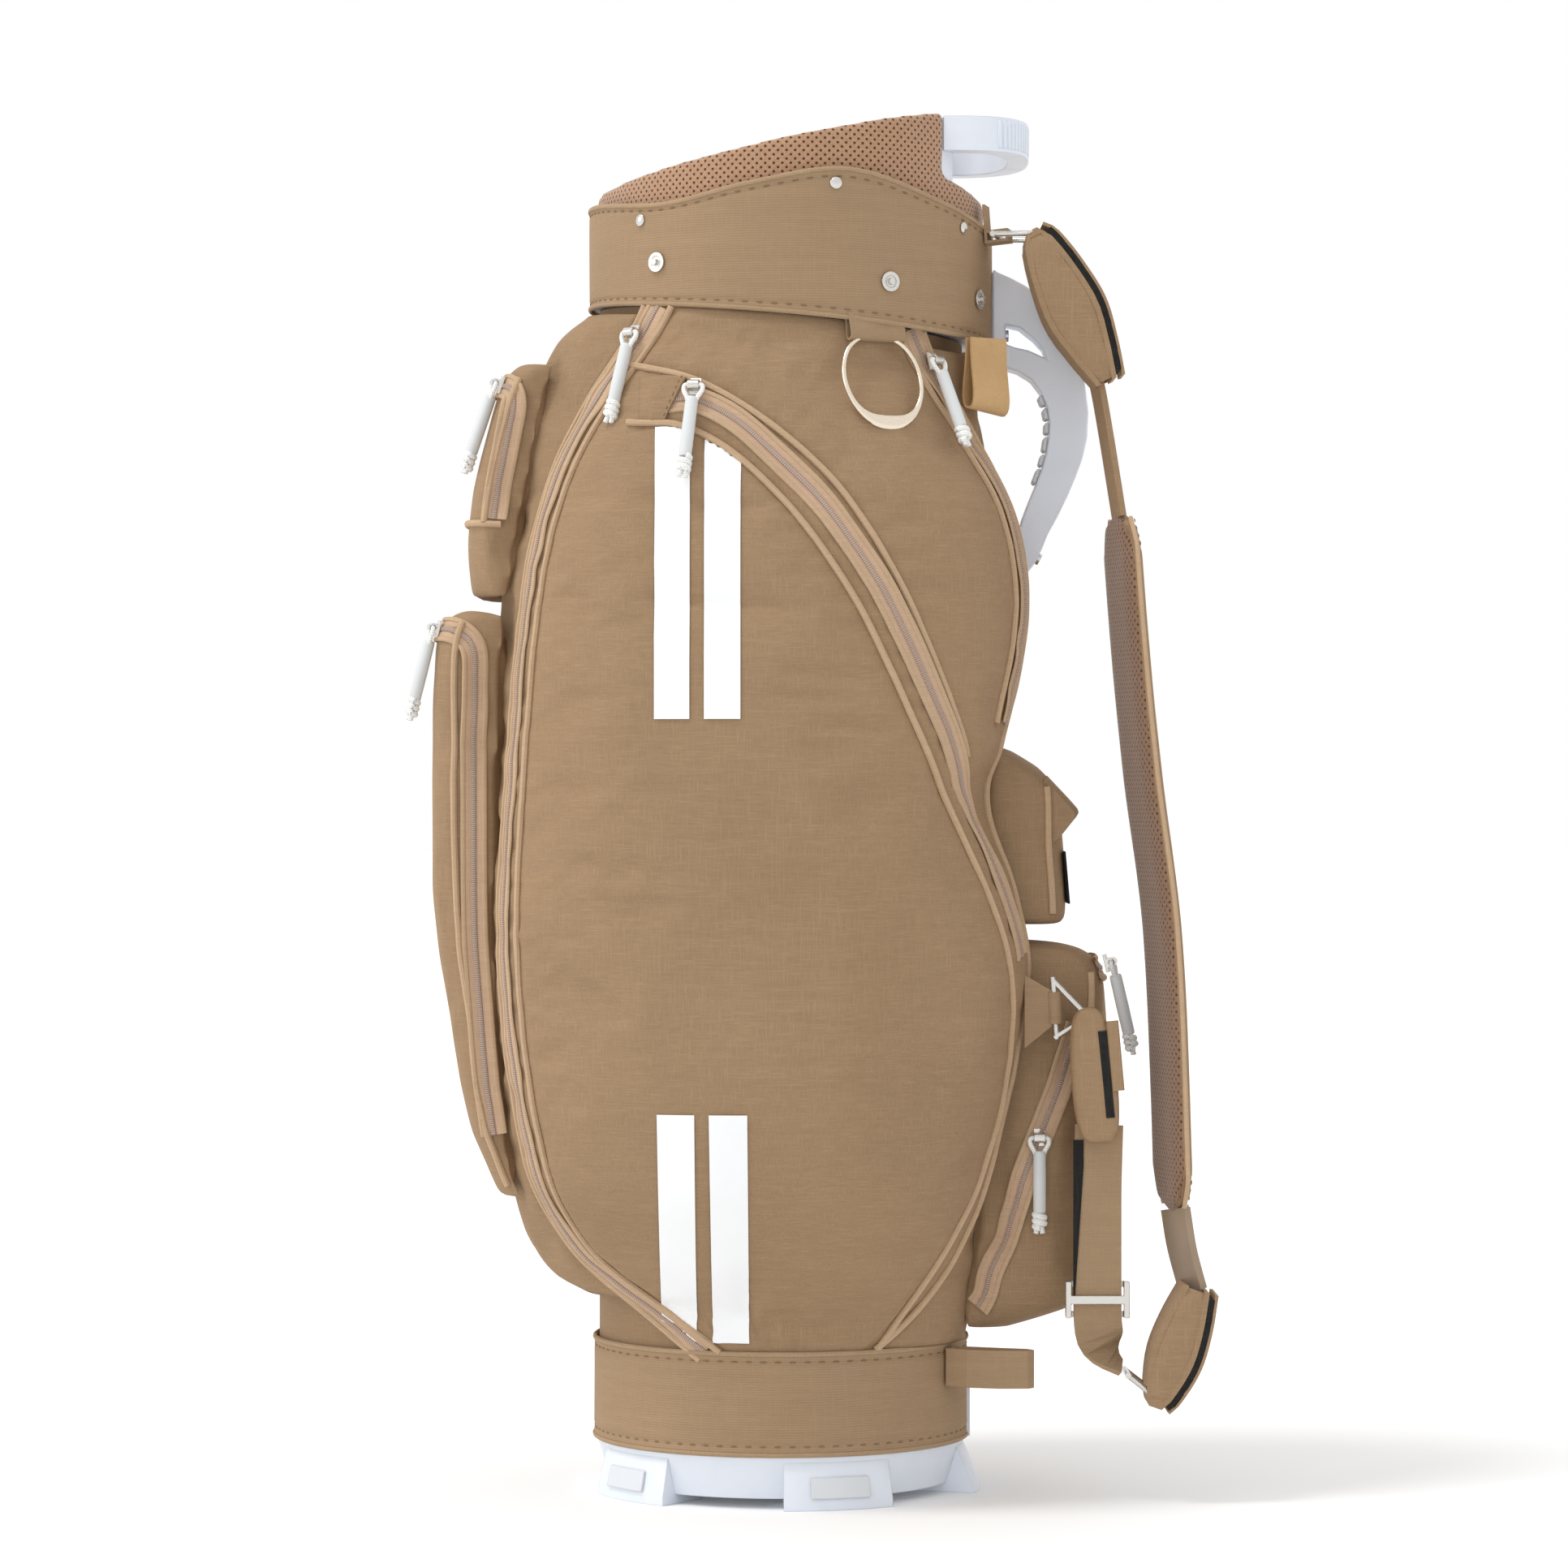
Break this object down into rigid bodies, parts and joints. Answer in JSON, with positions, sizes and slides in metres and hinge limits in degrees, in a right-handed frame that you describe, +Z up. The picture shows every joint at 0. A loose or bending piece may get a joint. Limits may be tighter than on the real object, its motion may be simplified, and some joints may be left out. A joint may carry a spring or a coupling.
{
  "type": "golf staff bag",
  "caption": "Tall round golf bag with a moulded base and mouth, sewn side, front and back pockets, club dividers, a carry handle, a lift handle, a towel ring and a shoulder strap.",
  "frame": {"origin": "on the floor, at the axis of the liner tube", "axes": "+Z up along the tube, +X towards the carry handle and strap, -Y towards the strap side pocket"},
  "size_m": [0.4857, 0.3176, 0.8375],
  "materials": {
    "canvas": "woven canvas, matt",
    "brown_mesh": "padded perforated mesh",
    "divider_cloth": "brushed lining cloth",
    "zip_tape": "woven tape with a coil",
    "webbing": "ribbed webbing",
    "hook_fabric": "hook-and-loop",
    "pull_cord": "braided cord in a soft sleeve",
    "mustard_leather": "smooth",
    "white_plastic": "semi-gloss moulding",
    "dark_plastic": "matt",
    "pale_rubber": "soft",
    "satin_metal": "satin",
    "champagne_metal": "polished"
  },
  "bodies": {
    "bag": {"base_moulding": "white_plastic", "foot_pads": "pale_rubber", "liner_tube": "dark_plastic", "body_cover": "canvas", "lower_band": "canvas", "mouth_ring": "white_plastic", "divider_grid": "brown_mesh", "divider_sheets": "divider_cloth", "mesh_collar": "brown_mesh", "mouth_band": "canvas", "band_rivets": "satin_metal", "hood_studs": "satin_metal", "front_body": "canvas", "spine_panel": "canvas", "side_pocket_near": "canvas", "side_pocket_far": "canvas", "front_upper_pocket": "canvas", "front_lower_pocket": "canvas", "back_upper_pocket": "canvas", "back_lower_pocket": "canvas", "side_zips_near": "zip_tape", "side_zips_far": "zip_tape", "pocket_zips": "zip_tape", "carry_handle": "white_plastic", "grip_pads": "pale_rubber", "handle_screws": "satin_metal", "towel_loop": "webbing", "leather_tag": "mustard_leather", "umbrella_loop": "webbing", "glove_patch": "hook_fabric", "strap_tabs": "webbing"},
    "towel_ring": {"towel_ring": "champagne_metal"},
    "strap": {"strap_rings": "satin_metal", "upper_wrap": "canvas", "lower_wrap": "canvas", "middle_wrap": "canvas", "shoulder_pad": "canvas", "strap_ends": "mustard_leather", "adjuster_webbing": "webbing"},
    "tri_glide": {"tri_glide": "satin_metal"},
    "slider_1": {"slider_1": "satin_metal"},
    "pull_1": {"pull_1": "pull_cord"},
    "slider_2": {"slider_2": "satin_metal"},
    "pull_2": {"pull_2": "pull_cord"},
    "slider_3": {"slider_3": "satin_metal"},
    "pull_3": {"pull_3": "pull_cord"},
    "slider_4": {"slider_4": "satin_metal"},
    "pull_4": {"pull_4": "pull_cord"},
    "slider_5": {"slider_5": "satin_metal"},
    "pull_5": {"pull_5": "pull_cord"},
    "slider_6": {"slider_6": "satin_metal"},
    "pull_6": {"pull_6": "pull_cord"},
    "slider_7": {"slider_7": "satin_metal"},
    "pull_7": {"pull_7": "pull_cord"},
    "slider_8": {"slider_8": "satin_metal"},
    "pull_8": {"pull_8": "pull_cord"},
    "slider_9": {"slider_9": "satin_metal"},
    "pull_9": {"pull_9": "pull_cord"},
    "slider_10": {"slider_10": "satin_metal"},
    "pull_10": {"pull_10": "pull_cord"}
  },
  "joints": [
    {"name": "towel_ring_swing", "type": "hinge", "parent": "bag", "child": "towel_ring", "pos_m": [0.05673, -0.11104, 0.69867], "axis": [-0.8779, -0.4787, 0.0098], "range_deg": [0, 105]},
    {"name": "strap_swing", "type": "hinge", "parent": "bag", "child": "strap", "pos_m": [0.165, -0.072, 0.297], "axis": [-0.069, 0.0734, 0.9949], "range_deg": [-28, 0]},
    {"name": "strap_adjuster_slide", "type": "slide", "parent": "strap", "child": "tri_glide", "axis": [0, 0, 1], "range_m": [-0.003, 0.07]},
    {"name": "slider_1_slide", "type": "slide", "parent": "bag", "child": "slider_1", "axis": [-0.5693, 0.082, -0.818], "range_m": [0, 0.035]},
    {"name": "pull_1_hinge", "type": "hinge", "parent": "slider_1", "child": "pull_1", "pos_m": [-0.09016, -0.09499, 0.70232], "axis": [-0.7384, 0.6743, 0.0089], "range_deg": [0, 105]},
    {"name": "slider_2_slide", "type": "slide", "parent": "bag", "child": "slider_2", "axis": [0.7776, -0.3631, -0.5133], "range_m": [0, 0.035]},
    {"name": "pull_2_hinge", "type": "hinge", "parent": "slider_2", "child": "pull_2", "pos_m": [-0.05138, -0.13232, 0.66797], "axis": [-0.9577, 0.2863, 0.0294], "range_deg": [0, 105]},
    {"name": "slider_3_slide", "type": "slide", "parent": "bag", "child": "slider_3", "axis": [0.496, 0.1552, -0.8543], "range_m": [0, 0.021]},
    {"name": "pull_3_hinge", "type": "hinge", "parent": "slider_3", "child": "pull_3", "pos_m": [0.09387, -0.0884, 0.68624], "axis": [-0.6535, -0.7567, 0.0187], "range_deg": [0, 105]},
    {"name": "slider_4_slide", "type": "slide", "parent": "bag", "child": "slider_4", "axis": [-0.5693, -0.082, -0.818], "range_m": [0, 0.035]},
    {"name": "pull_4_hinge", "type": "hinge", "parent": "slider_4", "child": "pull_4", "pos_m": [-0.09016, 0.09499, 0.70232], "axis": [0.7384, 0.6743, -0.0089], "range_deg": [0, 105]},
    {"name": "slider_5_slide", "type": "slide", "parent": "bag", "child": "slider_5", "axis": [0.7776, 0.3631, -0.5133], "range_m": [0, 0.035]},
    {"name": "pull_5_hinge", "type": "hinge", "parent": "slider_5", "child": "pull_5", "pos_m": [-0.05138, 0.13232, 0.66797], "axis": [0.9577, 0.2863, -0.0294], "range_deg": [0, 105]},
    {"name": "slider_6_slide", "type": "slide", "parent": "bag", "child": "slider_6", "axis": [0.496, -0.1552, -0.8543], "range_m": [0, 0.021]},
    {"name": "pull_6_hinge", "type": "hinge", "parent": "slider_6", "child": "pull_6", "pos_m": [0.09387, 0.0884, 0.68624], "axis": [0.6535, -0.7567, -0.0187], "range_deg": [0, 105]},
    {"name": "slider_7_slide", "type": "slide", "parent": "bag", "child": "slider_7", "axis": [-0.1354, 0.9907, 0.0115], "range_m": [0, 0.05]},
    {"name": "pull_7_hinge", "type": "hinge", "parent": "slider_7", "child": "pull_7", "pos_m": [-0.17388, -0.03844, 0.67598], "axis": [-0.1845, 0.9806, 0.0655], "range_deg": [0, 105]},
    {"name": "slider_8_slide", "type": "slide", "parent": "bag", "child": "slider_8", "axis": [-0.1354, 0.9908, 0.0085], "range_m": [0, 0.05]},
    {"name": "pull_8_hinge", "type": "hinge", "parent": "slider_8", "child": "pull_8", "pos_m": [-0.21203, -0.03846, 0.52711], "axis": [-0.1922, 0.9801, 0.0492], "range_deg": [0, 105]},
    {"name": "slider_9_slide", "type": "slide", "parent": "bag", "child": "slider_9", "axis": [0.1513, 0.9885, -0.0054], "range_m": [0, 0.04]},
    {"name": "pull_9_hinge", "type": "hinge", "parent": "slider_9", "child": "pull_9", "pos_m": [0.20203, -0.03464, 0.32362], "axis": [-0.2111, -0.9762, -0.05], "range_deg": [0, 6]},
    {"name": "slider_10_slide", "type": "slide", "parent": "bag", "child": "slider_10", "axis": [-0.3677, 0, -0.9299], "range_m": [0, 0.05]},
    {"name": "pull_10_hinge", "type": "hinge", "parent": "slider_10", "child": "pull_10", "pos_m": [0.15661, -0.05755, 0.21793], "axis": [-1, 0, 0], "range_deg": [0, 90]}
  ]
}
